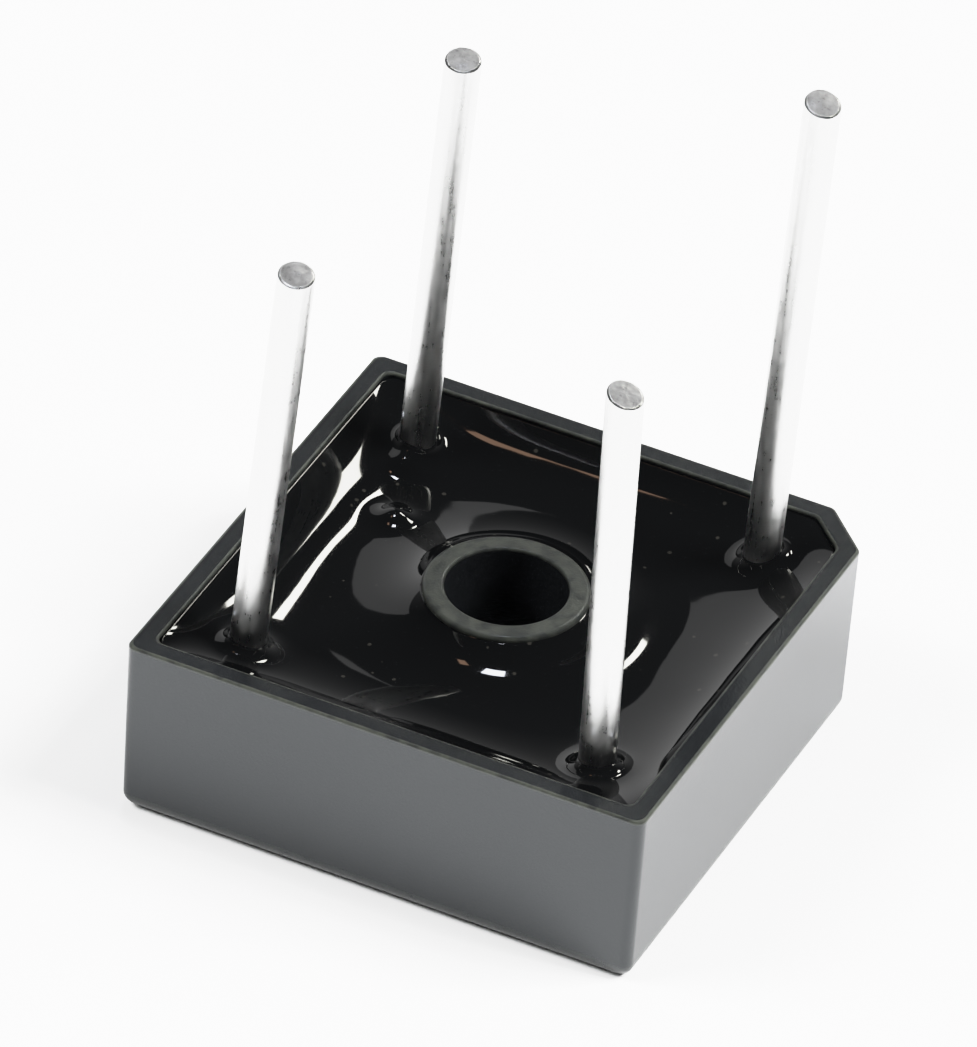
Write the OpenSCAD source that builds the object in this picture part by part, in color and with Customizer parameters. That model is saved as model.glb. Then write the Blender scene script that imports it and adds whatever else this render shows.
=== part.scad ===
// Square bridge rectifier with four round wire leads, standing on its flat
// mounting face with the potted side and the leads up. Millimetres, +Z up.
// The origin is the middle of the mounting hole on the mounting face.

/* [Case] */
// Outer side of the square case, measured at the rim
case_side = 19; // [18:0.1:22]
// Height of the case from the mounting face to the rim
case_height = 6.8; // [6:0.1:9]
// Thickness of the side walls
wall_thickness = 0.75; // [0.5:0.05:1.2]
// Thickness of the floor, whose outside is the mounting face
floor_thickness = 1.2; // [0.8:0.1:1.6]
// How far each side leans in between the rim and the mounting face
wall_draft = 0.08; // [0.02:0.01:0.2]
// Legs of the cut corner that marks the positive lead
corner_cut = 1.75; // [1:0.05:2.5]
// Radius of the upright outer edges
edge_radius = 0.35; // [0.2:0.05:0.6]
// Radius of the edge round the mounting face
base_radius = 0.6; // [0.3:0.05:0.9]
// Radius of the upright inner corners of the cup
inner_radius = 0.6; // [0.3:0.05:1]

/* [Mounting hole] */
// Diameter of the screw hole
hole_d = 4.2; // [3.6:0.1:4.8]
// Wall of the sleeve round the screw hole
sleeve_wall = 0.75; // [0.5:0.05:1]
// How far the end of the sleeve lies below the rim
sleeve_drop = 0.1; // [0.05:0.05:0.3]
// Radius of the outer edge at the end of the sleeve
sleeve_edge = 0.15; // [0.05:0.05:0.3]

/* [Potting] */
// Depth of the resin below the rim where it lies level
potting_drop = 0.9; // [0.7:0.05:1.3]
// Bare wall left between the resin's edge and the rim
wall_bare = 0.15; // [0.05:0.05:0.3]
// Width over which the resin climbs the walls
wall_climb_width = 2; // [1:0.1:2.4]
// Bare sleeve left between the resin's edge and the end of the sleeve
sleeve_bare = 0.25; // [0.1:0.05:0.4]
// Width over which the resin climbs the sleeve
sleeve_climb_width = 1.5; // [0.8:0.1:2.2]
// Height that the resin climbs up each lead
lead_climb = 0.5; // [0.3:0.05:0.6]
// Width over which the resin climbs each lead
lead_climb_width = 0.95; // [0.8:0.05:1.4]

/* [Leads] */
// Diameter of the round leads over their tin
lead_d = 1.27; // [0.9:0.01:1.5]
// Thickness of the tin
tin_coat = 0.01; // [0.005:0.005:0.04]
// Bare copper between the level resin and the start of the tin
tin_start = 0.8; // [0.65:0.05:3]
// Length over which the tin grows to its full thickness
tin_fade = 0.6; // [0.6:0.1:1.2]
// Distance between neighbouring leads where they leave the resin
lead_pitch = 12.9; // [12:0.1:14]
// Free length of the negative lead above the level resin
minus_length = 15.8; // [8:0.1:30]
// Free length of the rear alternating-current lead above the level resin
ac_back_length = 16.4; // [8:0.1:30]
// Free length of the front alternating-current lead above the level resin
ac_front_length = 15.6; // [8:0.1:30]
// Free length of the positive lead above the level resin
plus_length = 19.4; // [8:0.1:30]
// Lean of the negative lead, in degrees
minus_lean = 3; // [0:0.1:5]
// Lean of the rear alternating-current lead, in degrees
ac_back_lean = 2.1; // [0:0.1:5]
// Lean of the front alternating-current lead, in degrees
ac_front_lean = 0.4; // [0:0.1:5]
// Lean of the positive lead, in degrees
plus_lean = 1.9; // [0:0.1:5]
// Chamfer that the cutter leaves on the end of each lead
tip_chamfer = 0.12; // [0.05:0.01:0.3]
// Diameter of the nail head that each lead stands on
head_d = 2.4; // [1.8:0.1:3]
// Thickness of the nail head
head_thickness = 0.5; // [0.3:0.05:0.8]

/* [Copper and silicon] */
// Side of the square silicon dice
die_side = 3; // [2.2:0.1:3.4]
// Thickness of the dice
die_thickness = 0.3; // [0.2:0.05:0.4]
// Thickness of every layer of solder
solder_thickness = 0.08; // [0.04:0.01:0.15]
// Margin of each die left free round its solder
solder_margin = 0.2; // [0.1:0.05:0.4]
// Width of the arms of the copper straps
strap_width = 3.2; // [2.4:0.1:3.8]
// Thickness of the copper straps
strap_thickness = 0.5; // [0.3:0.05:0.8]
// Gap between the floor of the cup and the lower straps
strap_lift = 0.5; // [0.2:0.05:0.8]
// Copper left round each nail head
pad_margin = 0.25; // [0.1:0.05:0.4]

/* [Hidden] */

$fn = 64;
// Thickness of the slices that the outside of the case is blended from
slice = 0.01;
// Extra length of a cutter past the faces that it breaks through
overshoot = 1;
// How far the foot of each climb dips under the level resin to meet it cleanly
climb_foot = 0.01;
// Height of a climb drawn on inside its post, as a share of what shows
climb_spare = 1.25;

// The leads lean to the same side, but for the front alternating-current one
lean_heading = 20;

// Each lead's name, quadrant, free length, lean, heading and whether its strap
// lies over the dice
NAME = 0;
QUADRANT = 1;
LENGTH = 2;
LEAN = 3;
HEADING = 4;
UPPER = 5;
LEADS = [
    ["minus", [-1, -1], minus_length, minus_lean, lean_heading, true],
    ["ac_back", [-1, 1], ac_back_length, ac_back_lean, lean_heading, false],
    ["ac_front", [1, -1], ac_front_length, ac_front_lean, lean_heading + 180, false],
    ["plus", [1, 1], plus_length, plus_lean, lean_heading, true]];

// Each side that holds a die: its name and its direction from the hole
DIRECTION = 1;
SIDES = [["front", [0, -1]], ["right", [1, 0]], ["back", [0, 1]], ["left", [-1, 0]]];

half_side = case_side / 2;
sleeve_r = hole_d / 2 + sleeve_wall;
sleeve_top = case_height - sleeve_drop;
lead_at = lead_pitch / 2;
bare_d = lead_d - 2 * tin_coat;

// Legs of a 45 degree corner cut after its outline is drawn in by inset
function drawn_in(cut, inset) = cut - inset * (2 - sqrt(2));

cup_half = half_side - wall_thickness;
cup_cut = drawn_in(corner_cut, wall_thickness);
cup_depth = case_height - floor_thickness;
// The five walls of the cup: the way that each faces out, and its distance from the hole
CUP_WALLS = concat([for (heading = [0:90:270]) [heading, cup_half]],
    [[45, (2 * cup_half - cup_cut) / sqrt(2)]]);

resin_level = case_height - potting_drop;
wall_climb = potting_drop - wall_bare;
sleeve_climb = sleeve_top - sleeve_bare - resin_level;

// The dice stand halfway between the sleeve and the walls of the cup
die_at = (sleeve_r + cup_half) / 2;
solder_side = die_side - 2 * solder_margin;
pad_d = head_d + 2 * pad_margin;

// Heights of the stack from the lower straps upwards
lower_strap_z = floor_thickness + strap_lift;
lower_solder_z = lower_strap_z + strap_thickness;
die_z = lower_solder_z + solder_thickness;
upper_solder_z = die_z + die_thickness;
upper_strap_z = upper_solder_z + solder_thickness;

// ---- Case ----

// Outline of a square with one cut corner, as its five points
function cut_square(half, cut) =
    [[-half, -half], [half, -half], [half, half - cut], [half - cut, half], [-half, half]];

// One thin slice of the outside of the case, drawn in by inset on every side
module case_slice(z, inset) {
    centres = inset + edge_radius;
    for (point = cut_square(half_side - centres, drawn_in(corner_cut, centres)))
        translate([point.x, point.y, z])
            cylinder(r = edge_radius, h = slice, $fn = 32);
}

module case_outside() {
    hull() {
        case_slice(case_height - slice, 0);
        for (angle = [0:18:90])
            case_slice(base_radius * (1 - cos(angle)),
                wall_draft + base_radius * (1 - sin(angle)));
    }
}

// Inside of the cup, from the floor to the height given
module cup_space(height) {
    straight = cup_half - inner_radius;
    translate([0, 0, floor_thickness])
        intersection() {
            union() {
                translate([-cup_half, -straight, 0])
                    cube([2 * cup_half, 2 * straight, height]);
                translate([-straight, -cup_half, 0])
                    cube([2 * straight, 2 * cup_half, height]);
                for (x = [-straight, straight], y = [-straight, straight])
                    translate([x, y, 0])
                        cylinder(r = inner_radius, h = height);
            }
            linear_extrude(height)
                polygon(cut_square(cup_half + overshoot, cup_cut + 2 * overshoot));
        }
}

// Sleeve round the screw hole, rounded at its end and without the hole
module sleeve() {
    rotate_extrude()
        polygon(concat([[0, floor_thickness / 2], [sleeve_r, floor_thickness / 2]],
            [for (angle = [0:15:90])
                [sleeve_r - sleeve_edge * (1 - cos(angle)),
                    sleeve_top - sleeve_edge * (1 - sin(angle))]],
            [[0, sleeve_top]]));
}

module case() {
    color("#3a3b3d")
        difference() {
            union() {
                difference() {
                    case_outside();
                    cup_space(cup_depth + overshoot);
                }
                sleeve();
            }
            translate([0, 0, -overshoot])
                cylinder(d = hole_d, h = case_height + 2 * overshoot);
        }
}

// ---- Leads ----

function strap_z(lead) = lead[UPPER] ? upper_strap_z : lower_strap_z;
function head_solder_z(lead) = strap_z(lead) + strap_thickness;
function head_z(lead) = head_solder_z(lead) + solder_thickness;
// Where the lead's axis starts, in the middle of its head's thickness
function foot_z(lead) = head_z(lead) + head_thickness / 2;
// Where the lead's axis passes the level resin, and where its head stands below that
function exit_place(lead) = lead_at * lead[QUADRANT];
function head_place(lead) = exit_place(lead)
    - (resin_level - foot_z(lead)) * tan(lead[LEAN]) * [cos(lead[HEADING]), sin(lead[HEADING])];

// One lead: the nail head, and a straight wire that leans from it
module lead(lead) {
    buried = (resin_level - foot_z(lead)) / cos(lead[LEAN]);
    color("#d9dadb")
        translate(head_place(lead))
            rotate(lead[HEADING]) {
                translate([0, 0, head_z(lead)])
                    cylinder(d = head_d, h = head_thickness);
                translate([0, 0, foot_z(lead)])
                    rotate([0, lead[LEAN], 0])
                        wire(buried, lead[LENGTH]);
            }
}

// Round copper wire, tinned over its free length, with the chamfer that the
// cutter leaves on its end
module wire(buried, free) {
    tin_z = buried + tin_start;
    end_z = buried + free;
    rotate_extrude()
        polygon([[0, 0], [bare_d / 2, 0], [bare_d / 2, tin_z], [lead_d / 2, tin_z + tin_fade],
            [lead_d / 2, end_z - tip_chamfer], [lead_d / 2 - tip_chamfer, end_z], [0, end_z]]);
}

// Solder between a nail head and its strap
module head_solder(lead) {
    color("#a9acb0")
        translate(head_place(lead))
            translate([0, 0, head_solder_z(lead)])
                cylinder(d = head_d, h = solder_thickness);
}

// ---- Copper and silicon ----

// One arm of a strap, from a die's place to the corner, along +X
module strap_arm() {
    translate([-strap_width / 2, die_at - strap_width / 2, 0])
        cube([die_at + strap_width, strap_width, strap_thickness]);
}

// L-shaped copper strap from the pad under a lead to the dice on both sides of it
module strap(lead) {
    color("#b8734a")
        translate([0, 0, strap_z(lead)]) {
            scale([lead[QUADRANT].x, lead[QUADRANT].y, 1]) {
                strap_arm();
                mirror([1, -1, 0])
                    strap_arm();
            }
            translate(head_place(lead))
                cylinder(d = pad_d, h = strap_thickness);
        }
}

// Square slab centred on a die's place
module slab(side, width, z, height) {
    translate([side[DIRECTION].x * die_at - width / 2, side[DIRECTION].y * die_at - width / 2, z])
        cube([width, width, height]);
}

module die(side) {
    color("#5b6472")
        slab(side, die_side, die_z, die_thickness);
}

module lower_solder(side) {
    color("#a9acb0")
        slab(side, solder_side, lower_solder_z, solder_thickness);
}

module upper_solder(side) {
    color("#a9acb0")
        slab(side, solder_side, upper_solder_z, solder_thickness);
}

// ---- Potting ----

// Radius of the arc that starts level and climbs rise over width
function climb_radius(width, rise) = (width * width + rise * rise) / (2 * rise);

// The space over the resin as one wall shapes it: open to the far side, and
// closed by an arc towards the wall
module space_by_wall(heading, distance) {
    radius = climb_radius(wall_climb_width, wall_climb);
    foot = distance - wall_climb_width;
    rotate(heading)
        translate([0, case_side, resin_level])
            rotate([90, 0, 0])
                linear_extrude(2 * case_side) {
                    translate([-case_side, 0])
                        square([case_side + foot, 2 * radius]);
                    translate([foot, radius - climb_foot])
                        circle(r = radius);
                }
}

// The space over the resin, which climbs all five walls
module space_over_resin() {
    intersection_for (wall = CUP_WALLS)
        space_by_wall(wall[0], wall[1]);
}

// Resin that climbs a post of radius r, as a collar with the post left solid
module collar(r, width, rise) {
    radius = climb_radius(width, rise);
    translate([0, 0, resin_level])
        rotate_extrude()
            difference() {
                translate([0, -rise])
                    square([r + width, rise + rise * climb_spare]);
                translate([r + width, radius - climb_foot])
                    circle(r = radius);
            }
}

// Everything that the resin is cast round, apart from the case
module embedded() {
    for (one = LEADS) {
        lead(one);
        head_solder(one);
        strap(one);
    }
    for (side = SIDES) {
        die(side);
        lower_solder(side);
        upper_solder(side);
    }
}

// Resin cast into the cup, which climbs the walls, the sleeve and the leads
module potting() {
    color("#141416")
        difference() {
            union() {
                difference() {
                    cup_space(cup_depth - wall_bare + climb_foot);
                    space_over_resin();
                }
                collar(sleeve_r, sleeve_climb_width, sleeve_climb);
                for (one = LEADS)
                    translate(exit_place(one))
                        collar(bare_d / 2, lead_climb_width, lead_climb);
            }
            sleeve();
            embedded();
        }
}

// ---- Nodes ----

case();
potting();
for (one = LEADS) {
    lead(one);
    head_solder(one);
    strap(one);
}
for (side = SIDES) {
    die(side);
    lower_solder(side);
    upper_solder(side);
}
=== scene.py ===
# Square bridge rectifier, potted side up, on a white table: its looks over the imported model.
# The pieces follow in the order in which the real part is put together: the moulded case, the
# four leads with the copper and silicon that they feed, and last the resin poured over them.
# Lengths are in metres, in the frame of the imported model, and mm is one millimetre.

import math

import bmesh
import bpy
from mathutils import Matrix, Vector
from mathutils.geometry import delaunay_2d_cdt


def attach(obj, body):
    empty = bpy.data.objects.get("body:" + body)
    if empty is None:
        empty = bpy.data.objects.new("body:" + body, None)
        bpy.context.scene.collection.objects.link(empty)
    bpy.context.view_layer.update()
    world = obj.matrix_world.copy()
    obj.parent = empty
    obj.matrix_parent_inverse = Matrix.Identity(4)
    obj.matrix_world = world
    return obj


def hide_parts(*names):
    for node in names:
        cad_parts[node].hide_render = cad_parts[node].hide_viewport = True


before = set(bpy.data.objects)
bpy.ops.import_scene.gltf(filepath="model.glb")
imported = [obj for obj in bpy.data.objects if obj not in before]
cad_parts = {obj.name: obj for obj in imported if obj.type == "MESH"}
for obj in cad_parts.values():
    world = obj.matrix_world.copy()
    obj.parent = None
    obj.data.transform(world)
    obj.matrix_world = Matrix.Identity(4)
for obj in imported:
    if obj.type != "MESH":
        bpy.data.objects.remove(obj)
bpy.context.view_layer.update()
scene = bpy.context.scene
mm = 0.001


# ---------------------------------------------------------------- Camera
# A long lens looks down at the part from its front left corner, slightly rolled. It stands half
# a metre away, so that the upright leads spread apart a little towards their tips.

AIM = Vector((-2.45, 3.79, 5.92)) * mm
camera_turn = (Matrix.Rotation(math.radians(23.02), 4, "Z")
               @ Matrix.Rotation(math.radians(90 - 36.92), 4, "X")
               @ Matrix.Rotation(math.radians(4.52), 4, "Z"))
lens = bpy.data.cameras.new("camera")
lens.sensor_width = 36
lens.lens = 470.2
lens.clip_start = 0.02
lens.clip_end = 20
camera = bpy.data.objects.new("camera", lens)
camera.matrix_world = Matrix.Translation(AIM + camera_turn.col[2].xyz * 0.4614) @ camera_turn
scene.collection.objects.link(camera)
scene.camera = camera


# ---------------------------------------------------------------- Table, room and lights
# The part stands on a sheet of white paper that is lit well past white. The room over it is dim,
# so that the resin mirrors darkness, and pale only near the horizon. The lamps are small.

scene.view_settings.view_transform = "Standard"
scene.view_settings.use_curve_mapping = True
shoulder = scene.view_settings.curve_mapping
shoulder.white_level = (4, 4, 4)
for light, shown in ((0.125, 0.5), (0.175, 0.66), (0.25, 0.8), (0.35, 0.885), (0.5, 0.93), (0.75, 0.965)):
    shoulder.curves[3].points.new(light, shown)
shoulder.curves[3].points[-1].location = (1, 0.985)
for point in shoulder.curves[3].points:
    point.handle_type = "VECTOR"
shoulder.update()


def new_material(name, colour, roughness, metallic=0.0, ior=1.5):
    """A material whose shader has its plain values set; returns it with its nodes and the shader."""
    material = bpy.data.materials.new(name)
    material.use_nodes = True
    material.diffuse_color = (*colour, 1)
    shader = material.node_tree.nodes["Principled BSDF"]
    shader.inputs["Base Color"].default_value = (*colour, 1)
    shader.inputs["Roughness"].default_value = roughness
    shader.inputs["Metallic"].default_value = metallic
    shader.inputs["IOR"].default_value = ior
    return material, material.node_tree, shader


def add_node(tree, kind, inputs=None, **settings):
    """A node of that kind with its settings and its inputs, each a value or a socket to link."""
    node = tree.nodes.new(kind)
    for name, value in settings.items():
        setattr(node, name, value)
    for name, value in (inputs or {}).items():
        if isinstance(value, bpy.types.NodeSocket):
            tree.links.new(value, node.inputs[name])
        else:
            node.inputs[name].default_value = value
    return node


def add_mesh(name, points, faces):
    """An object at the origin whose mesh holds these points and faces."""
    mesh = bpy.data.meshes.new(name)
    mesh.from_pydata(points, [], faces)
    mesh.update()
    piece = bpy.data.objects.new(name, mesh)
    scene.collection.objects.link(piece)
    return piece


table_half = 1.5
paper, tree, shader = new_material("white_paper", (0.82, 0.82, 0.82), 0.9)
place = add_node(tree, "ShaderNodeTexCoord").outputs["Object"]
fibres = add_node(tree, "ShaderNodeTexNoise", {"Vector": place, "Scale": 900.0, "Detail": 6.0})
relief = add_node(tree, "ShaderNodeBump",
                  {"Height": fibres.outputs["Fac"], "Strength": 0.08, "Distance": 0.0001})
tree.links.new(relief.outputs["Normal"], shader.inputs["Normal"])
table = add_mesh("table",
                 [(x * table_half, y * table_half, 0) for x, y in ((-1, -1), (1, -1), (1, 1), (-1, 1))],
                 [(0, 1, 2, 3)])
table.data.materials.append(paper)

world = bpy.data.worlds.new("dim_room")
world.use_nodes = True
scene.world = world
tree = world.node_tree
towards = add_node(tree, "ShaderNodeTexCoord").outputs["Generated"]
height = add_node(tree, "ShaderNodeSeparateXYZ", {"Vector": towards}).outputs["Z"]
ramp = add_node(tree, "ShaderNodeValToRGB", {"Fac": height})
ramp.color_ramp.elements[0].position = 0.0
ramp.color_ramp.elements[0].color = (0.3, 0.3, 0.3, 1)
ramp.color_ramp.elements[1].position = 0.55
ramp.color_ramp.elements[1].color = (0.05, 0.052, 0.055, 1)
tree.links.new(ramp.outputs["Color"], tree.nodes["Background"].inputs["Color"])


def add_lamp(name, azimuth, elevation, distance, size, watts, colour=(1, 1, 1), mirrored=True):
    """A rectangular lamp in that direction from the part, turned to face it."""
    lamp = bpy.data.lights.new(name, "AREA")
    lamp.shape = "RECTANGLE"
    lamp.size, lamp.size_y = size
    lamp.energy = watts
    lamp.color = colour
    out = Vector((math.cos(math.radians(azimuth)) * math.cos(math.radians(elevation)),
                  math.sin(math.radians(azimuth)) * math.cos(math.radians(elevation)),
                  math.sin(math.radians(elevation))))
    holder = bpy.data.objects.new(name, lamp)
    holder.matrix_world = (Matrix.Translation(out * distance)
                           @ out.to_track_quat("Z", "Y").to_matrix().to_4x4())
    holder.visible_glossy = mirrored
    scene.collection.objects.link(holder)


add_lamp("window_behind", 80, 41.5, 1.5, (0.25, 0.16), 3.2, (1, 0.99, 0.9))
add_lamp("lamp_behind", 102, 41.5, 1.5, (0.07, 0.14), 0.9, (1, 0.99, 0.9))
add_lamp("ceiling_lamp", 118, 76, 1.4, (0.14, 0.14), 2.6, (0.86, 0.9, 1))
add_lamp("warm_ceiling", 156, 72, 1.4, (0.1, 0.08), 0.09, (1, 0.62, 0.42))
add_lamp("pale_wall", 135, 18, 1.6, (1.04, 1.16), 2.0)
add_lamp("key_front_left", -150, 48, 1.3, (0.6, 0.6), 30, mirrored=False)
add_lamp("key_right", 20, 48, 1.3, (0.6, 0.6), 60, mirrored=False)


# ---------------------------------------------------------------- Case
# A square cup with one cut corner, moulded in one shot of dark filled epoxy together with the
# sleeve round its screw hole. Its faces have the fine grain of a spark-eroded mould.

CASE_HALF = 9.5 * mm
CASE_HEIGHT = 6.8 * mm
CORNER_CUT = 1.75 * mm
EDGE_RADIUS = 0.35 * mm
BASE_RADIUS = 0.6 * mm
WALL = 0.75 * mm
FLOOR = 1.2 * mm
DRAFT = 0.08 * mm
RIM_OUTER_EDGE = 0.09 * mm
RIM_INNER_EDGE = 0.07 * mm
HOLE_RADIUS = 2.1 * mm
SLEEVE_RADIUS = 2.85 * mm
SLEEVE_TOP = 6.7 * mm
SLEEVE_EDGE = 0.15 * mm
HOLE_EDGE = 0.08 * mm
ARC_STEPS = 8
EDGE_STEPS = 5
# Rings laid close beside each rounded edge keep the flat faces next to it flat when shaded
EDGE_SUPPORT = 0.05 * mm
RIM_SUPPORT = 0.03 * mm
CORNER_SUPPORT = 0.004
SIDE_STEP = 0.25 * mm


def drawn_in(cut, inset):
    """Legs of the 45 degree corner cut once its outline is drawn in by inset."""
    return cut - inset * (2 - math.sqrt(2))


def cut_square(half, cut):
    return [(-half, -half), (half, -half), (half, half - cut), (half - cut, half), (-half, half)]


def outline(inset, radius, step=SIDE_STEP):
    """The case's outline drawn in by inset, its corners rounded, as a closed row of points."""
    centres = cut_square(CASE_HALF - inset - radius, drawn_in(CORNER_CUT, inset + radius))
    turns = [(180, 270), (270, 360), (0, 45), (45, 90), (90, 180)]
    arcs = []
    for (x, y), (start, end) in zip(centres, turns):
        angles = [math.radians(start + (end - start) * i / ARC_STEPS) for i in range(ARC_STEPS + 1)]
        arcs.append([Vector((x + radius * math.cos(a), y + radius * math.sin(a))) for a in angles])
    row = []
    for arc, following in zip(arcs, arcs[1:] + arcs[:1]):
        row += arc
        steps = int((2 * CORNER_CUT if arc is arcs[2] else 2 * CASE_HALF) / step)
        stops = [CORNER_SUPPORT] + [i / steps for i in range(1, steps)] + [1 - CORNER_SUPPORT]
        row += [arc[-1].lerp(following[0], stop) for stop in stops]
    return row


def quarter(steps):
    """Sine and cosine at even steps over a quarter turn."""
    angles = [math.pi / 2 * i / steps for i in range(steps + 1)]
    return [(math.sin(a), math.cos(a)) for a in angles]


def side_inset(z):
    """How far the outer side leans in at that height."""
    return DRAFT * (CASE_HEIGHT - z) / (CASE_HEIGHT - BASE_RADIUS)


# Each ring of the case's skin: its row of points, its height, and how worn it gets
rings = []
foot = outline(DRAFT + BASE_RADIUS, EDGE_RADIUS)


def add_outline(z, inset, wear=0.0, radius=EDGE_RADIUS):
    rings.append((outline(inset, radius), z, wear))


def add_circle(z, radius, wear=0.0):
    rings.append(([point.normalized() * radius for point in foot], z, wear))


add_circle(0, HOLE_RADIUS + HOLE_EDGE + EDGE_SUPPORT)
add_outline(0, DRAFT + BASE_RADIUS + EDGE_SUPPORT)
for s, c in quarter(ARC_STEPS):
    add_outline(BASE_RADIUS * (1 - c), DRAFT + BASE_RADIUS * (1 - s), 0.3)
add_outline(BASE_RADIUS + EDGE_SUPPORT, side_inset(BASE_RADIUS + EDGE_SUPPORT))
for share in (0.25, 0.5, 0.75):
    add_outline(CASE_HEIGHT * share, side_inset(CASE_HEIGHT * share))
below_edge = CASE_HEIGHT - RIM_OUTER_EDGE - EDGE_SUPPORT
add_outline(below_edge, side_inset(below_edge))
for s, c in quarter(EDGE_STEPS):
    add_outline(CASE_HEIGHT - RIM_OUTER_EDGE * (1 - s), RIM_OUTER_EDGE * (1 - c), 1.0)
add_outline(CASE_HEIGHT, RIM_OUTER_EDGE + RIM_SUPPORT)
add_outline(CASE_HEIGHT, WALL / 2)
add_outline(CASE_HEIGHT, WALL - RIM_INNER_EDGE - RIM_SUPPORT)
for s, c in quarter(EDGE_STEPS):
    add_outline(CASE_HEIGHT - RIM_INNER_EDGE * (1 - c), WALL - RIM_INNER_EDGE * (1 - s), 0.7)
add_outline(CASE_HEIGHT - RIM_INNER_EDGE - EDGE_SUPPORT, WALL)
add_outline(FLOOR, WALL)
add_circle(FLOOR, SLEEVE_RADIUS)
add_circle(SLEEVE_TOP - SLEEVE_EDGE - EDGE_SUPPORT, SLEEVE_RADIUS, 0.3)
for s, c in quarter(ARC_STEPS):
    add_circle(SLEEVE_TOP - SLEEVE_EDGE * (1 - s), SLEEVE_RADIUS - SLEEVE_EDGE * (1 - c), 0.5)
add_circle(SLEEVE_TOP, SLEEVE_RADIUS - SLEEVE_EDGE - RIM_SUPPORT, 0.5)
add_circle(SLEEVE_TOP, HOLE_RADIUS + HOLE_EDGE + RIM_SUPPORT, 0.5)
for s, c in quarter(EDGE_STEPS):
    add_circle(SLEEVE_TOP - HOLE_EDGE * (1 - c), HOLE_RADIUS + HOLE_EDGE * (1 - s), 0.5)
add_circle(SLEEVE_TOP - HOLE_EDGE - EDGE_SUPPORT, HOLE_RADIUS)
add_circle(HOLE_EDGE + EDGE_SUPPORT, HOLE_RADIUS)
for s, c in quarter(EDGE_STEPS):
    add_circle(HOLE_EDGE * (1 - s), HOLE_RADIUS + HOLE_EDGE * (1 - c))

count = len(foot)
points, worn = [], []
for row, z, wear in rings:
    for x, y in row:
        points.append((x, y, z))
        worn.append(wear)
faces = []
for ring in range(len(rings)):
    low, high = ring * count, (ring + 1) % len(rings) * count
    for i in range(count):
        j = (i + 1) % count
        faces.append((low + i, high + i, high + j, low + j))
case = add_mesh("moulded_case", points, faces)
case.data.attributes.new("wear", "FLOAT", "POINT").data.foreach_set("value", worn)
skin = bmesh.new()
skin.from_mesh(case.data)
bmesh.ops.recalc_face_normals(skin, faces=skin.faces)
skin.to_mesh(case.data)
skin.free()
case.data.shade_smooth()

plastic, tree, shader = new_material("moulded_epoxy", (0.004, 0.0043, 0.0047), 0.25)
shader.inputs["Specular Tint"].default_value = (0.92, 0.97, 1, 1)
place = add_node(tree, "ShaderNodeTexCoord").outputs["Object"]
grain = add_node(tree, "ShaderNodeTexNoise", {"Vector": place, "Scale": 11000.0, "Detail": 3.0})
cloud = add_node(tree, "ShaderNodeTexNoise", {"Vector": place, "Scale": 450.0, "Detail": 6.0})
chips = add_node(tree, "ShaderNodeTexNoise", {"Vector": place, "Scale": 2600.0, "Detail": 5.0})
speckle = add_node(tree, "ShaderNodeMapRange",
                   {"Value": grain.outputs["Fac"], "From Min": 0.35, "From Max": 0.65})
tone = add_node(tree, "ShaderNodeMix", {"Factor": speckle.outputs["Result"], "A": (0.0012, 0.0016, 0.002, 1),
                                        "B": (0.0065, 0.0072, 0.008, 1)}, data_type="RGBA")
clouded = add_node(tree, "ShaderNodeMix", {"Factor": cloud.outputs["Fac"], "B": (0.0065, 0.007, 0.0076, 1)},
                   data_type="RGBA")
tree.links.new(tone.outputs["Result"], clouded.inputs["A"])
rubbed = add_node(tree, "ShaderNodeAttribute", attribute_name="wear").outputs["Fac"]
broken = add_node(tree, "ShaderNodeMapRange", {"Value": chips.outputs["Fac"], "From Min": 0.36,
                                               "From Max": 0.64, "To Min": 0.35, "To Max": 1.25})
bare = add_node(tree, "ShaderNodeMath", {0: rubbed, 1: broken.outputs["Result"]}, operation="MULTIPLY",
                use_clamp=True).outputs[0]
finish = add_node(tree, "ShaderNodeMix", {"Factor": bare, "B": (0.03, 0.032, 0.026, 1)}, data_type="RGBA")
tree.links.new(clouded.outputs["Result"], finish.inputs["A"])
tree.links.new(finish.outputs["Result"], shader.inputs["Base Color"])
rough = add_node(tree, "ShaderNodeMapRange", {"Value": bare, "To Min": 0.25, "To Max": 0.45})
tree.links.new(rough.outputs["Result"], shader.inputs["Roughness"])
relief = add_node(tree, "ShaderNodeBump",
                  {"Height": grain.outputs["Fac"], "Strength": 0.35, "Distance": 0.00002})
tree.links.new(relief.outputs["Normal"], shader.inputs["Normal"])
case.data.materials.append(plastic)
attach(case, "root")
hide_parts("case")


# ---------------------------------------------------------------- Leads
# Four pieces of round copper wire with a nail head at the foot, dipped in tin and cut off with
# side cutters. They were bent a little out of true when they were handled.

LEAD_RADIUS = 0.635 * mm
HEAD_RADIUS = 1.2 * mm
LEAD_AT = 6.45 * mm
RESIN_LEVEL = 5.9 * mm
# Side of the case, length out of the level resin, lean, its heading, height of the nail head,
# and the cut end: how far it slants, towards which heading, and how far it is crowned
LEADS = {
    "minus": ((-1, -1), 15.8 * mm, 3.0, 20, 3.49 * mm, 0.22 * mm, 300, 0.16 * mm),
    "ac_back": ((-1, 1), 16.4 * mm, 2.1, 20, 2.53 * mm, 0.2 * mm, 285, EDGE_SUPPORT),
    "ac_front": ((1, -1), 15.6 * mm, 0.4, 200, 2.53 * mm, 0.36 * mm, 340, 0.02 * mm),
    "plus": ((1, 1), 19.4 * mm, 1.9, 20, 3.49 * mm, 0.3 * mm, 320, 0.08 * mm)}
HEAD_THICKNESS = 0.5 * mm
TIP_EDGE = 0.1 * mm
TIP_CLEARANCE = 0.01 * mm
CUT_REACH = 0.9 * mm
TORN_DEPTH = 0.06 * mm
DENT_DEPTH = 0.008 * mm

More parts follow.
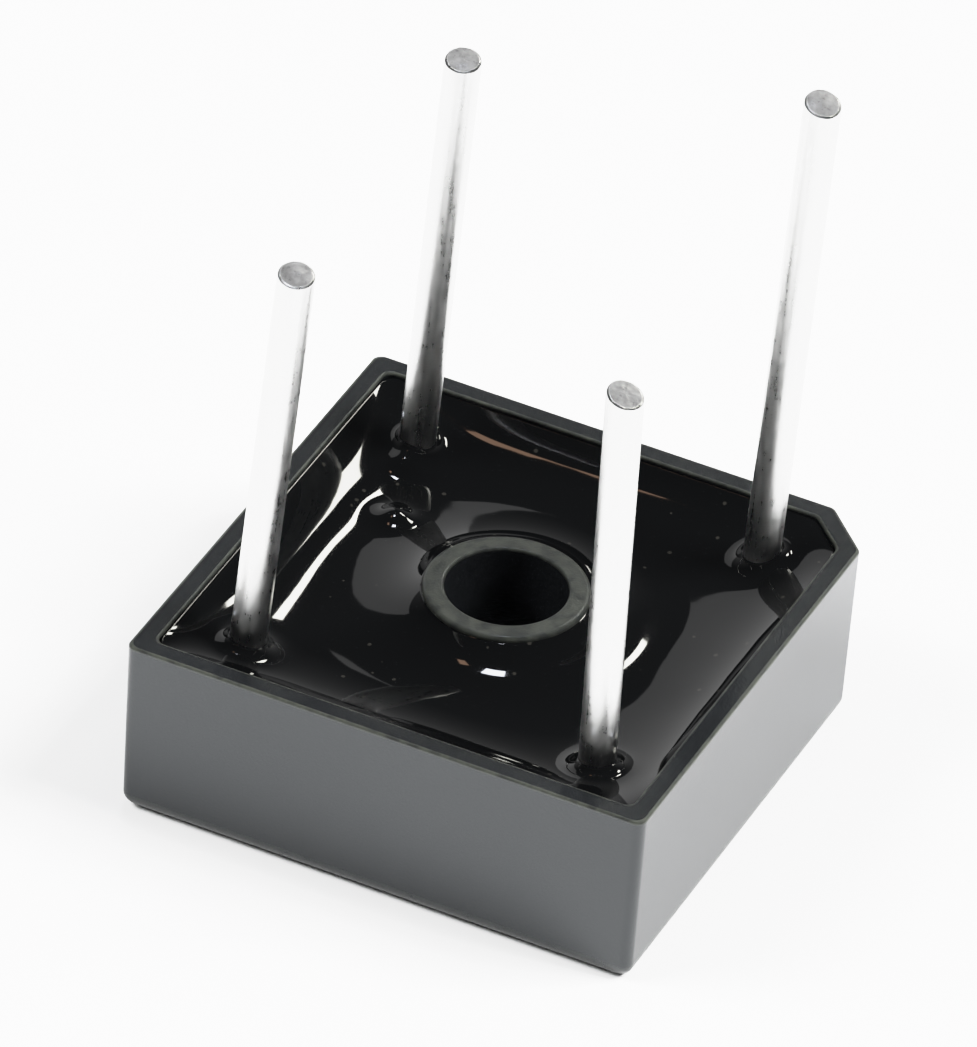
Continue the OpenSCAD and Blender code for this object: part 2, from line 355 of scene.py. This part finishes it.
tin, tree, shader = new_material("bright_tin", (0.72, 0.72, 0.71), 0.24, metallic=1.0)
place = add_node(tree, "ShaderNodeTexCoord").outputs["Object"]
along = add_node(tree, "ShaderNodeMapping", {"Vector": place, "Scale": (1.0, 1.0, 0.05)}).outputs["Vector"]
streaks = add_node(tree, "ShaderNodeTexNoise", {"Vector": along, "Scale": 7000.0, "Detail": 4.0})
dull = add_node(tree, "ShaderNodeTexNoise",
                {"Vector": place, "Scale": 2500.0, "Detail": 6.0, "Roughness": 0.7})
mottle = add_node(tree, "ShaderNodeMath", {0: streaks.outputs["Fac"], 1: dull.outputs["Fac"]},
                  operation="MULTIPLY")
rough = add_node(tree, "ShaderNodeMapRange", {"Value": mottle.outputs[0], "From Min": 0.12, "From Max": 0.4,
                                              "To Min": 0.24, "To Max": 0.42})
tree.links.new(rough.outputs["Result"], shader.inputs["Roughness"])
sheared = add_node(tree, "ShaderNodeAttribute", attribute_name="cut_end").outputs["Fac"]
torn = add_node(tree, "ShaderNodeMapRange", {"Value": dull.outputs["Fac"], "From Min": 0.35, "From Max": 0.65,
                                             "To Min": 0.09, "To Max": 0.17}).outputs["Result"]
end_tone = add_node(tree, "ShaderNodeCombineColor",
                    {"Red": torn, "Green": torn, "Blue": torn}).outputs["Color"]
colour = add_node(tree, "ShaderNodeMix", {"Factor": sheared, "A": (0.72, 0.72, 0.71, 1)}, data_type="RGBA")
tree.links.new(end_tone, colour.inputs["B"])
tree.links.new(colour.outputs["Result"], shader.inputs["Base Color"])
metal = add_node(tree, "ShaderNodeMapRange", {"Value": sheared, "To Min": 1.0, "To Max": 0.25})
tree.links.new(metal.outputs["Result"], shader.inputs["Metallic"])
relief = add_node(tree, "ShaderNodeBump",
                  {"Height": mottle.outputs[0], "Strength": 0.25, "Distance": 0.00002})
tree.links.new(relief.outputs["Normal"], shader.inputs["Normal"])


def work(tree, operation, a, b=0.0):
    """One step of arithmetic in a node tree; a and b are numbers or sockets."""
    return add_node(tree, "ShaderNodeMath", {0: a, 1: b}, operation=operation).outputs[0]


def new_tree(name, sizes, places, material):
    """A geometry tree with those named inputs, its closing nodes, and the sockets of its inputs."""
    tree = bpy.data.node_groups.new(name, "GeometryNodeTree")
    face = tree.interface
    face.new_socket("Sheet", in_out="INPUT", socket_type="NodeSocketGeometry")
    sockets = {label: face.new_socket(label, in_out="INPUT", socket_type="NodeSocketFloat").identifier
               for label in sizes}
    sockets |= {label: face.new_socket(label, in_out="INPUT", socket_type="NodeSocketVector").identifier
                for label in places}
    face.new_socket("Piece", in_out="OUTPUT", socket_type="NodeSocketGeometry")
    real = tree.nodes.new("GeometryNodeRealizeInstances")
    coated = add_node(tree, "GeometryNodeSetMaterial", {"Geometry": real.outputs[0], "Material": material})
    tree.links.new(coated.outputs[0], tree.nodes.new("NodeGroupOutput").inputs[0])
    return tree, tree.nodes.new("NodeGroupInput").outputs, real.inputs[0], sockets


def grow(tree, sockets, values, start):
    """The plain mesh that the tree makes from that starting object, which is used up."""
    rule = start.modifiers.new("rule", "NODES")
    rule.node_group = tree
    for label, value in values.items():
        rule[sockets[label]] = value
    grown = bpy.data.meshes.new_from_object(start.evaluated_get(bpy.context.evaluated_depsgraph_get()))
    bpy.data.objects.remove(start)
    return grown


wire_sizes = ("Length", "Wire radius", "Head radius", "Head thickness", "Edge radius",
              "Cut slant", "Cut heading", "Cut crown", "Torn depth", "Dent depth")
tree, given, end, wire_sockets = new_tree("wire_with_nail_head_and_cut_end", wire_sizes,
                                          ("Foot", "Turn"), tin)
wire = add_node(tree, "GeometryNodeMeshCylinder",
                {"Vertices": 48, "Side Segments": 80, "Fill Segments": 8, "Radius": 1.0, "Depth": 1.0},
                fill_type="TRIANGLE_FAN").outputs["Mesh"]
unit = add_node(tree, "GeometryNodeInputPosition").outputs[0]
x, y, z = add_node(tree, "ShaderNodeSeparateXYZ", {0: unit}).outputs
to_go = work(tree, "SUBTRACT", 0.5, z)
left = work(tree, "MULTIPLY", given["Length"], work(tree, "MULTIPLY", to_go, to_go))
rounding = work(tree, "SUBTRACT", 1.0, work(tree, "DIVIDE", left, given["Edge radius"]))
rounding = work(tree, "MAXIMUM", 0.0, rounding)
kept = work(tree, "SQRT", work(tree, "SUBTRACT", 1.0, work(tree, "MULTIPLY", rounding, rounding)))
drawn = work(tree, "MULTIPLY", given["Edge radius"], work(tree, "SUBTRACT", 1.0, kept))
# The noise is drawn out along the wire, and starts from another place for each lead
stretch = (1.0, 1.0, 12.0)
apart = (3000.0, 3000.0, 3000.0)
drawn_out = add_node(tree, "ShaderNodeVectorMath", {0: unit, 1: stretch}, operation="MULTIPLY").outputs[0]
own_place = add_node(tree, "ShaderNodeVectorMath", {0: given["Foot"], 1: apart, 2: drawn_out},
                     operation="MULTIPLY_ADD").outputs[0]
dents = add_node(tree, "ShaderNodeTexNoise",
                 {"Vector": own_place, "Scale": 1.1, "Detail": 2.0}).outputs["Fac"]
dent = work(tree, "MULTIPLY", given["Dent depth"], dents)
radius = work(tree, "SUBTRACT", work(tree, "SUBTRACT", given["Wire radius"], drawn), dent)
aim = work(tree, "RADIANS", given["Cut heading"])
side = work(tree, "ADD", work(tree, "MULTIPLY", x, work(tree, "COSINE", aim)),
            work(tree, "MULTIPLY", y, work(tree, "SINE", aim)))
far_side = work(tree, "MULTIPLY", 0.5, work(tree, "ADD", 1.0, side))
slanted = work(tree, "MULTIPLY", given["Cut slant"], far_side)
off_axis = work(tree, "ADD", work(tree, "MULTIPLY", x, x), work(tree, "MULTIPLY", y, y))
crowned = work(tree, "MULTIPLY", given["Cut crown"], off_axis)
tearing = add_node(tree, "ShaderNodeTexNoise",
                   {"Vector": own_place, "Scale": 2.6, "Detail": 3.0}).outputs["Fac"]
torn = work(tree, "MULTIPLY", given["Torn depth"], tearing)
sunk = work(tree, "ADD", torn, work(tree, "ADD", slanted, crowned))
near_end = work(tree, "EXPONENT", work(tree, "DIVIDE", left, -CUT_REACH))
along_wire = work(tree, "SUBTRACT", given["Length"], left)
height = work(tree, "SUBTRACT", along_wire, work(tree, "MULTIPLY", sunk, near_end))
formed = add_node(tree, "ShaderNodeCombineXYZ",
                  {"X": work(tree, "MULTIPLY", x, radius), "Y": work(tree, "MULTIPLY", y, radius),
                   "Z": height}).outputs[0]
at_end = work(tree, "GREATER_THAN", z, 0.4999)
marked = add_node(tree, "GeometryNodeStoreNamedAttribute",
                  {"Geometry": wire, "Name": "cut_end", "Value": at_end},
                  data_type="FLOAT", domain="POINT").outputs[0]
wire = add_node(tree, "GeometryNodeSetPosition", {"Geometry": marked, "Position": formed}).outputs[0]
head = add_node(tree, "GeometryNodeMeshCylinder",
                {"Vertices": 48, "Radius": given["Head radius"],
                 "Depth": given["Head thickness"]}).outputs["Mesh"]
half_head = work(tree, "MULTIPLY", 0.5, given["Head thickness"])
lift = add_node(tree, "ShaderNodeCombineXYZ", {"Z": half_head}).outputs[0]
head = add_node(tree, "GeometryNodeTransform", {"Geometry": head, "Translation": lift}).outputs[0]
both = add_node(tree, "GeometryNodeJoinGeometry", {0: wire})
tree.links.new(head, both.inputs[0])
stood = add_node(tree, "GeometryNodeTransform", {"Geometry": both.outputs[0], "Translation": given["Foot"],
                                                 "Rotation": given["Turn"]}).outputs[0]
tree.links.new(stood, end)

for name, (quadrant, length, lean, heading, head_z, slant, slant_heading, crown) in LEADS.items():
    turn = (0, math.radians(lean), math.radians(heading))
    axis = Matrix.Rotation(turn[2], 3, "Z") @ Matrix.Rotation(turn[1], 3, "Y") @ Vector((0, 0, 1))
    level_exit = Vector((quadrant[0] * LEAD_AT, quadrant[1] * LEAD_AT, RESIN_LEVEL))
    buried = (RESIN_LEVEL - head_z) / axis.z + HEAD_THICKNESS / 2
    values = dict(zip(wire_sizes, (length + buried - TIP_CLEARANCE, LEAD_RADIUS, HEAD_RADIUS,
                                   HEAD_THICKNESS, TIP_EDGE, slant, float(slant_heading - heading),
                                   crown, TORN_DEPTH, DENT_DEPTH)))
    values |= {"Foot": level_exit - axis * buried, "Turn": turn}
    mesh = grow(tree, wire_sockets, values, add_mesh("foot", [(0, 0, 0)], []))
    lead = bpy.data.objects.new("tinned_lead_" + name, mesh)
    scene.collection.objects.link(lead)
    lead.data.shade_smooth()
    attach(lead, "root")
    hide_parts("lead_" + name)


# ---------------------------------------------------------------- Copper, silicon and solder
# L-shaped straps of rolled copper join the leads to the four dice, and a thin layer of solder
# holds each joint. The resin hides them all.

def brushed(name, colour, roughness, metallic, scale):
    """A material whose tone, gloss and surface vary with a fine noise of that scale."""
    material, tree, shader = new_material(name, colour, roughness, metallic)
    place = add_node(tree, "ShaderNodeTexCoord").outputs["Object"]
    marks = add_node(tree, "ShaderNodeTexNoise",
                     {"Vector": place, "Scale": scale, "Detail": 5.0}).outputs["Fac"]
    tone = add_node(tree, "ShaderNodeMix", {"Factor": marks, "A": (*(0.75 * c for c in colour), 1),
                                            "B": (*(min(1.0, 1.2 * c) for c in colour), 1)}, data_type="RGBA")
    tree.links.new(tone.outputs["Result"], shader.inputs["Base Color"])
    rough = add_node(tree, "ShaderNodeMapRange",
                     {"Value": marks, "To Min": 0.7 * roughness, "To Max": 1.3 * roughness})
    tree.links.new(rough.outputs["Result"], shader.inputs["Roughness"])
    relief = add_node(tree, "ShaderNodeBump", {"Height": marks, "Strength": 0.3, "Distance": 0.00002})
    tree.links.new(relief.outputs["Normal"], shader.inputs["Normal"])
    return material


copper = brushed("rolled_copper", (0.72, 0.36, 0.2), 0.35, 1.0, 1500.0)
silicon = brushed("lapped_silicon", (0.12, 0.13, 0.16), 0.15, 0.0, 6000.0)
solder = brushed("dull_solder", (0.5, 0.5, 0.5), 0.45, 1.0, 3000.0)
for name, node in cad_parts.items():
    for start, material in (("strap_", copper), ("die_", silicon), ("head_solder", solder),
                            ("lower_solder", solder), ("upper_solder", solder)):
        if name.startswith(start):
            node.data.materials.clear()
            node.data.materials.append(material)


# ---------------------------------------------------------------- Resin
# Black casting resin fills the cup to just under the rim. It wetted the walls, the sleeve and
# the leads before it set, and so it climbs them and sags between.

RESIN_LOW = 5.45 * mm
WALL_CONTACT = 6.65 * mm
SLEEVE_CONTACT = 6.5 * mm
LEAD_RISE = 0.4 * mm
WALL_REACH = 1.45 * mm
SLEEVE_REACH = 1.35 * mm
LEAD_REACH = 0.28 * mm
CUP_HALF = CASE_HALF - WALL
LUMPS = ((-6.35 * mm, 5.35 * mm), (-5.45 * mm, 2.75 * mm))
LUMP_HEIGHT = 0.34 * mm
LUMP_WIDTH = 0.42 * mm
UNEVENNESS = 0.03 * mm
GRID = 0.14 * mm
ROW_STEP = GRID * 0.866
# Beside what the resin wets, the sheet has rows of its own, closer together than its grid
CUP_CORNER = 0.5 * mm
COLLAR_HEIGHT = 6.2 * mm
NEAR_ROWS = 9
NEAR_STEP = 0.06 * mm
NEAR_BAND = 0.62 * mm
ALONG_WALL = 0.11 * mm
AROUND_POST = 0.09 * mm
CUT_WALL_AT = (2 * CUP_HALF - drawn_in(CORNER_CUT, WALL)) / math.sqrt(2)


def lead_place(name, z):
    """Where the axis of that lead passes the height z."""
    quadrant, length, lean, heading = LEADS[name][:4]
    slip = (z - RESIN_LEVEL) * math.tan(math.radians(lean))
    return Vector((quadrant[0] * LEAD_AT + slip * math.cos(math.radians(heading)),
                   quadrant[1] * LEAD_AT + slip * math.sin(math.radians(heading))))


def ring_of(centre, radius, steps):
    return [centre + radius * Vector((math.cos(2 * math.pi * i / steps), math.sin(2 * math.pi * i / steps)))
            for i in range(steps)]


loops = [outline(WALL, CUP_CORNER, ALONG_WALL), ring_of(Vector((0, 0)), SLEEVE_RADIUS, 160)]
loops += [ring_of(lead_place(name, COLLAR_HEIGHT), LEAD_RADIUS * 0.97, 64) for name in LEADS]
posts = [(Vector((0, 0)), SLEEVE_RADIUS)] + [(lead_place(name, COLLAR_HEIGHT), LEAD_RADIUS) for name in LEADS]
flat, edges = [], []
for loop in loops:
    start = len(flat)
    flat += loop
    edges += [(start + i, start + (i + 1) % len(loop)) for i in range(len(loop))]
for centre, radius in posts:
    for step in range(1, NEAR_ROWS + 1):
        ring = radius + step * NEAR_STEP
        flat += ring_of(centre, ring, int(2 * math.pi * ring / AROUND_POST))
for step in range(1, NEAR_ROWS + 1):
    flat += outline(WALL + step * NEAR_STEP, CUP_CORNER, ALONG_WALL)
rows = int(2 * CUP_HALF / ROW_STEP)
for row in range(rows + 1):
    y = -CUP_HALF + row * ROW_STEP
    for column in range(int(2 * CUP_HALF / GRID) + 1):
        x = -CUP_HALF + (column + row % 2 * 0.5) * GRID
        point = Vector((x, y))
        wall_gap = min(CUP_HALF - abs(x), CUP_HALF - abs(y),
                       CUT_WALL_AT - (x + y) / math.sqrt(2))
        clear = all((point - centre).length > radius + NEAR_BAND for centre, radius in posts)
        if wall_gap > NEAR_BAND and clear:
            flat.append(point)
verts, _, triangles, *_ = delaunay_2d_cdt(flat, edges, [], 1, 1e-7)


def over_post(triangle):
    """Whether that triangle of the sheet lies inside the sleeve or a lead."""
    middle = sum((verts[i] for i in triangle), Vector((0, 0))) / 3
    return any((middle - centre).length < radius * 0.965 for centre, radius in posts)


triangles = [triangle for triangle in triangles if not over_post(triangle)]


def bared(tree, gap, reach, share=1.0):
    """1 far from a wetted face, falling to 1 - share at the face, over that reach."""
    fall = work(tree, "EXPONENT", work(tree, "DIVIDE", work(tree, "MULTIPLY", gap, -1.0), reach))
    return work(tree, "SUBTRACT", 1.0, work(tree, "MULTIPLY", fall, share))


epoxy, tree, shader = new_material("black_casting_resin", (0.0012, 0.0013, 0.0014), 0.04, ior=1.55)
place = add_node(tree, "ShaderNodeTexCoord").outputs["Object"]
swell = add_node(tree, "ShaderNodeTexNoise", {"Vector": place, "Scale": 400.0, "Detail": 2.0})
relief = add_node(tree, "ShaderNodeBump",
                  {"Height": swell.outputs["Fac"], "Strength": 0.1, "Distance": 0.00005})
tree.links.new(relief.outputs["Normal"], shader.inputs["Normal"])
dust = add_node(tree, "ShaderNodeTexVoronoi", {"Vector": place, "Scale": 2600.0})
near = add_node(tree, "ShaderNodeMath", {0: dust.outputs["Distance"], 1: 0.2},
                operation="LESS_THAN").outputs[0]
chosen = add_node(tree, "ShaderNodeSeparateColor", {"Color": dust.outputs["Color"]}).outputs[0]
chosen = add_node(tree, "ShaderNodeMath", {0: chosen, 1: 0.93}, operation="GREATER_THAN").outputs[0]
speck = add_node(tree, "ShaderNodeMath", {0: near, 1: chosen}, operation="MULTIPLY").outputs[0]
tone = add_node(tree, "ShaderNodeMix", {"Factor": speck, "A": (0.0012, 0.0013, 0.0014, 1),
                                        "B": (0.012, 0.0115, 0.01, 1)}, data_type="RGBA")
tree.links.new(tone.outputs["Result"], shader.inputs["Base Color"])

resin_sizes = {
    "Lowest level": RESIN_LOW, "Wall contact": WALL_CONTACT, "Wall reach": WALL_REACH,
    "Cup half width": CUP_HALF, "Cut wall distance": CUT_WALL_AT,
    "Sleeve radius": SLEEVE_RADIUS, "Sleeve contact": SLEEVE_CONTACT, "Sleeve reach": SLEEVE_REACH,
    "Lead radius": LEAD_RADIUS, "Lead rise": LEAD_RISE, "Lead reach": LEAD_REACH,
    "Lump height": LUMP_HEIGHT, "Lump width": LUMP_WIDTH, "Unevenness": UNEVENNESS}
resin_places = {name + " place": (*lead_place(name, COLLAR_HEIGHT), 0) for name in LEADS}
resin_places |= {"lump %d" % i: (*lump, 0) for i, lump in enumerate(LUMPS)}
tree, given, end, resin_sockets = new_tree("resin_climbs_what_it_wets", resin_sizes, resin_places, epoxy)

place = add_node(tree, "GeometryNodeInputPosition").outputs[0]
split = add_node(tree, "ShaderNodeSeparateXYZ", {0: place}).outputs
half = given["Cup half width"]
slope = work(tree, "DIVIDE", work(tree, "ADD", split["X"], split["Y"]), math.sqrt(2))
gaps = [work(tree, "SUBTRACT", half, split["X"]), work(tree, "ADD", half, split["X"]),
        work(tree, "SUBTRACT", half, split["Y"]), work(tree, "ADD", half, split["Y"]),
        work(tree, "SUBTRACT", given["Cut wall distance"], slope)]
unwetted = 1.0
for gap in gaps:
    unwetted = work(tree, "MULTIPLY", unwetted, bared(tree, gap, given["Wall reach"]))
climb = work(tree, "SUBTRACT", given["Wall contact"], given["Lowest level"])
share = work(tree, "DIVIDE", work(tree, "SUBTRACT", given["Sleeve contact"], given["Lowest level"]), climb)
from_hole = add_node(tree, "ShaderNodeVectorMath", {0: place}, operation="LENGTH").outputs["Value"]
gap = work(tree, "SUBTRACT", from_hole, given["Sleeve radius"])
unwetted = work(tree, "MULTIPLY", unwetted, bared(tree, gap, given["Sleeve reach"], share))
level = work(tree, "ADD", given["Lowest level"],
             work(tree, "MULTIPLY", climb, work(tree, "SUBTRACT", 1.0, unwetted)))
for name in LEADS:
    away = add_node(tree, "ShaderNodeVectorMath", {0: place, 1: given[name + " place"]}, operation="DISTANCE")
    gap = work(tree, "SUBTRACT", away.outputs["Value"], given["Lead radius"])
    collar = work(tree, "SUBTRACT", 1.0, bared(tree, gap, given["Lead reach"]))
    level = work(tree, "ADD", level, work(tree, "MULTIPLY", collar, given["Lead rise"]))
for i in range(len(LUMPS)):
    away = add_node(tree, "ShaderNodeVectorMath", {0: place, 1: given["lump %d" % i]}, operation="DISTANCE")
    spread = work(tree, "DIVIDE", away.outputs["Value"], given["Lump width"])
    swelling = work(tree, "EXPONENT", work(tree, "MULTIPLY", -0.5, work(tree, "MULTIPLY", spread, spread)))
    level = work(tree, "ADD", level, work(tree, "MULTIPLY", swelling, given["Lump height"]))
waves = add_node(tree, "ShaderNodeTexNoise", {"Vector": place, "Scale": 240.0, "Detail": 1.0}).outputs["Fac"]
wave = work(tree, "MULTIPLY", given["Unevenness"], work(tree, "SUBTRACT", waves, 0.5))
level = work(tree, "ADD", level, wave)
target = add_node(tree, "ShaderNodeCombineXYZ", {"X": split["X"], "Y": split["Y"], "Z": level}).outputs[0]
moved = add_node(tree, "GeometryNodeSetPosition", {"Geometry": given["Sheet"], "Position": target})
tree.links.new(moved.outputs[0], end)
surface = grow(tree, resin_sockets, resin_sizes | resin_places,
               add_mesh("resin_sheet", [(x, y, 0) for x, y in verts], triangles))

block = bmesh.new()
block.from_mesh(surface)
block.verts.ensure_lookup_table()
under = {v: block.verts.new((v.co.x, v.co.y, FLOOR)) for v in list(block.verts)}
rim_edges = [e for e in block.edges if e.is_boundary]
for face in list(block.faces):
    block.faces.new([under[v] for v in reversed(face.verts)])
for edge in rim_edges:
    a, b = edge.verts
    block.faces.new((a, b, under[b], under[a]))
bmesh.ops.recalc_face_normals(block, faces=block.faces)
for face in block.faces:
    face.smooth = face.normal.z > 0.2
block.to_mesh(surface)
block.free()
resin = bpy.data.objects.new("cast_resin", surface)
scene.collection.objects.link(resin)
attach(resin, "root")
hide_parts("potting")
